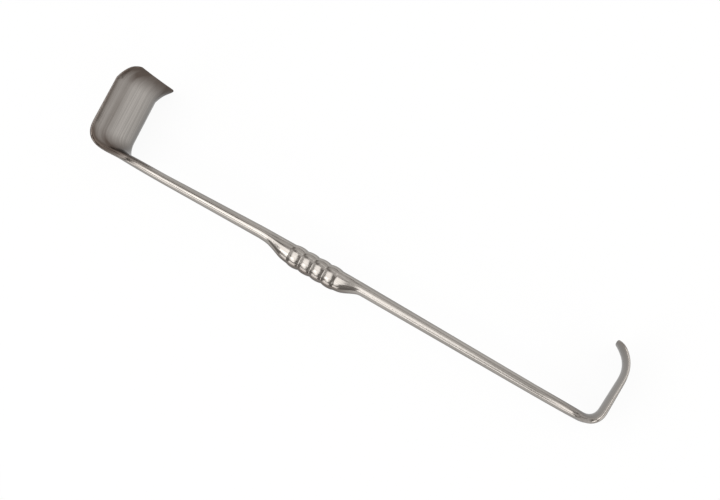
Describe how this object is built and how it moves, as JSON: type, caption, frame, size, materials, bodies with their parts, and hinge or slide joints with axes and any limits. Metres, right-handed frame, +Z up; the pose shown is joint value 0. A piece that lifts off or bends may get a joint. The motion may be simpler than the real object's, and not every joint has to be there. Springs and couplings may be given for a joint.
{
  "type": "handheld surgical retractor",
  "caption": "One-piece double-ended hand retractor: a slim bar with a ribbed grip near the middle and a saddle-shaped blade with a curled lip at each end, both pointing the same way.",
  "frame": {"origin": "bottom centre of the bounding box, on the surface the retractor lies on", "axes": "+X along the bar from the large blade to the small one, +Y the way both blades point, +Z up, across the blades' width"},
  "size_m": [0.1706, 0.03, 0.0289],
  "materials": {
    "steel": "satin-polished stainless steel with fine lengthwise polishing lines, and a faint brown film where the blades are bent and curled"
  },
  "bodies": {
    "root": {"retractor": "steel"}
  },
  "joints": []
}
